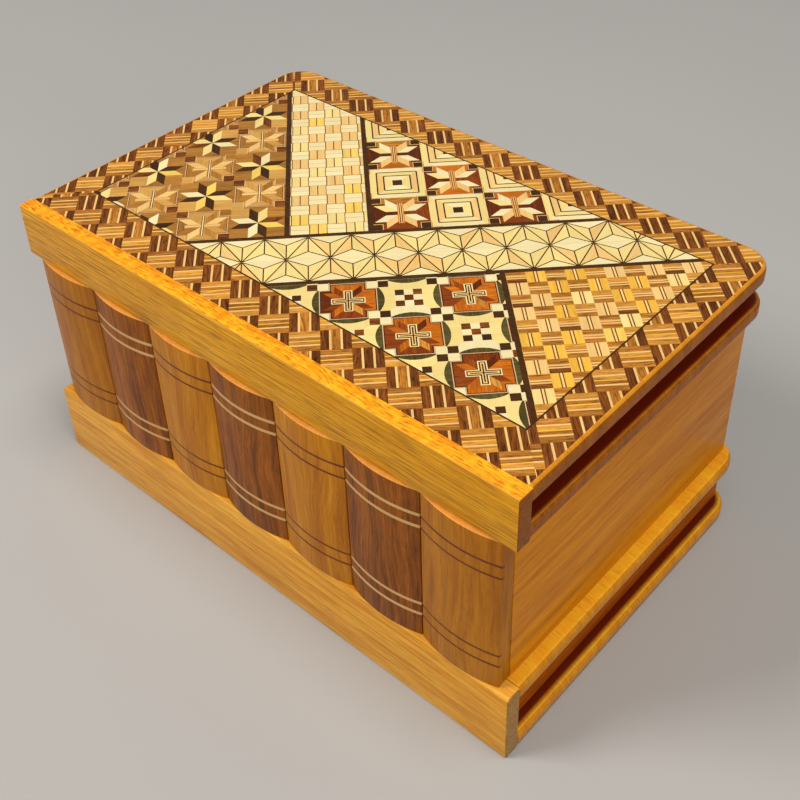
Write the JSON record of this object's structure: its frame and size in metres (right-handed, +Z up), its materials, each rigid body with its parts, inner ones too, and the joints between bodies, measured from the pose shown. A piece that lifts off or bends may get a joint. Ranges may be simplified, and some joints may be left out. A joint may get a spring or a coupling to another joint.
{
  "type": "wooden code-lock puzzle box",
  "caption": "Wooden puzzle box shaped as a stack of books: marquetry lid, rounded book spines that pull forward as a code lock.",
  "frame": {"origin": "centre of the footprint at the underside, on the surface the box stands on", "axes": "+X along the row of books to the right, +Y towards the hinged back, +Z up"},
  "size_m": [0.18, 0.1152, 0.094],
  "materials": {
    "cover_wood": "satin",
    "page_wood": "satin",
    "spine_wood": "satin",
    "cap_wood": "satin",
    "panel_wood": "satin",
    "inner_wood": "bare",
    "light_book_wood": "satin",
    "walnut": "satin",
    "dark_inlay": "satin",
    "cream_inlay": "satin",
    "tongue_wood": "bare",
    "marquetry_brown": "satin",
    "marquetry_dark": "satin",
    "marquetry_cream": "satin",
    "marquetry_orange": "satin",
    "marquetry_yellow": "satin",
    "brass": "satin"
  },
  "bodies": {
    "box": {"base_cover_lower": "cover_wood", "base_page_left": "page_wood", "base_page_right": "page_wood", "base_page_back": "page_wood", "base_page_front": "page_wood", "base_cover_upper": "cover_wood", "base_spine": "spine_wood", "side_wall_left": "panel_wood", "side_wall_right": "panel_wood", "back_wall": "panel_wood", "front_wall": "inner_wood", "lock_floor": "inner_wood", "lock_top": "inner_wood", "lock_back": "inner_wood", "hinge_leaves_wall": "brass", "hinge_pins": "brass", "hinge_screws_wall": "brass"},
    "book_1": {"book_1": "light_book_wood", "book_lines_1": "dark_inlay", "tongue_1": "tongue_wood"},
    "book_2": {"book_2": "walnut", "book_lines_2": "cream_inlay", "tongue_2": "tongue_wood"},
    "book_3": {"book_3": "light_book_wood", "book_lines_3": "dark_inlay", "tongue_3": "tongue_wood"},
    "book_4": {"book_4": "walnut", "book_lines_4": "cream_inlay", "tongue_4": "tongue_wood"},
    "book_5": {"book_5": "light_book_wood", "book_lines_5": "dark_inlay", "tongue_5": "tongue_wood"},
    "book_6": {"book_6": "walnut", "book_lines_6": "cream_inlay", "tongue_6": "tongue_wood"},
    "book_7": {"book_7": "light_book_wood", "book_lines_7": "dark_inlay", "tongue_7": "tongue_wood"},
    "lid": {"lid_cover_lower": "cover_wood", "lid_page_left": "page_wood", "lid_page_right": "page_wood", "lid_page_back": "page_wood", "lid_page_front": "page_wood", "lid_cover_top": "cover_wood", "lid_spine": "spine_wood", "lid_spine_cap": "cap_wood", "lock_pins": "brass", "marquetry_border": "marquetry_brown", "marquetry_outline": "marquetry_dark", "marquetry_bars": "marquetry_dark", "marquetry_stars": "marquetry_brown", "marquetry_cream_weave": "marquetry_cream", "marquetry_checks": "marquetry_orange", "marquetry_hemp_leaf": "marquetry_cream", "marquetry_medallions": "marquetry_orange", "marquetry_gold_weave": "marquetry_yellow", "hinge_leaves_lid": "brass", "hinge_screws_lid": "brass"}
  },
  "joints": [
    {"name": "book_1_pull", "type": "slide", "parent": "box", "child": "book_1", "axis": [0, -1, 0], "range_m": [0, 0.005]},
    {"name": "book_2_pull", "type": "slide", "parent": "box", "child": "book_2", "axis": [0, -1, 0], "range_m": [0, 0.005]},
    {"name": "book_3_pull", "type": "slide", "parent": "box", "child": "book_3", "axis": [0, -1, 0], "range_m": [0, 0.005]},
    {"name": "book_4_pull", "type": "slide", "parent": "box", "child": "book_4", "axis": [0, -1, 0], "range_m": [0, 0.005]},
    {"name": "book_5_pull", "type": "slide", "parent": "box", "child": "book_5", "axis": [0, -1, 0], "range_m": [0, 0.005]},
    {"name": "book_6_pull", "type": "slide", "parent": "box", "child": "book_6", "axis": [0, -1, 0], "range_m": [0, 0.005]},
    {"name": "book_7_pull", "type": "slide", "parent": "box", "child": "book_7", "axis": [0, -1, 0], "range_m": [0, 0.005]},
    {"name": "lid_hinge", "type": "hinge", "parent": "box", "child": "lid", "pos_m": [0, 0.0542, 0.0772], "axis": [-1, 0, 0], "range_deg": [0, 100]}
  ]
}
